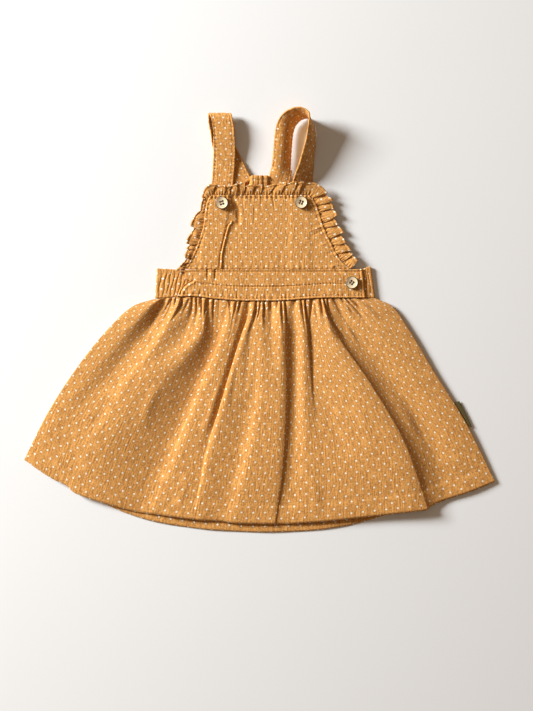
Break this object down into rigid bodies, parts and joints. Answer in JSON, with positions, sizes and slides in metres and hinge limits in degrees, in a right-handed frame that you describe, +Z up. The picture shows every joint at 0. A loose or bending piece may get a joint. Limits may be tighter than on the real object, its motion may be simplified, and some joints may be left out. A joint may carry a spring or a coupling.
{
  "type": "pinafore dress",
  "caption": "Child's pinafore dress of dotted cotton laid flat: gathered skirt, waistband, buttoned bib with a frill, and two shoulder straps, one standing open in a loop.",
  "frame": {"origin": "middle of the dress's outline seen from above, on the surface that it lies on", "axes": "+X to the viewer's right across the skirt, +Y from the hem to the straps, +Z up, away from the surface"},
  "size_m": [0.4702, 0.4224, 0.0232],
  "materials": {
    "dotted_cotton": "matt mustard cotton with small cream dots",
    "button": "polished cream, turned rings, four holes sewn with brown thread",
    "label_tape": "matt olive woven tape, bare"
  },
  "bodies": {
    "root": {"skirt_front": "dotted_cotton", "skirt_back": "dotted_cotton", "waistband_front": "dotted_cotton", "waistband_back": "dotted_cotton", "bib_front": "dotted_cotton", "back_bib": "dotted_cotton", "bib_ruffle": "dotted_cotton", "strap_left": "dotted_cotton", "strap_right": "dotted_cotton", "button_left": "button", "button_right": "button", "button_waist": "button", "side_label": "label_tape"}
  },
  "joints": []
}
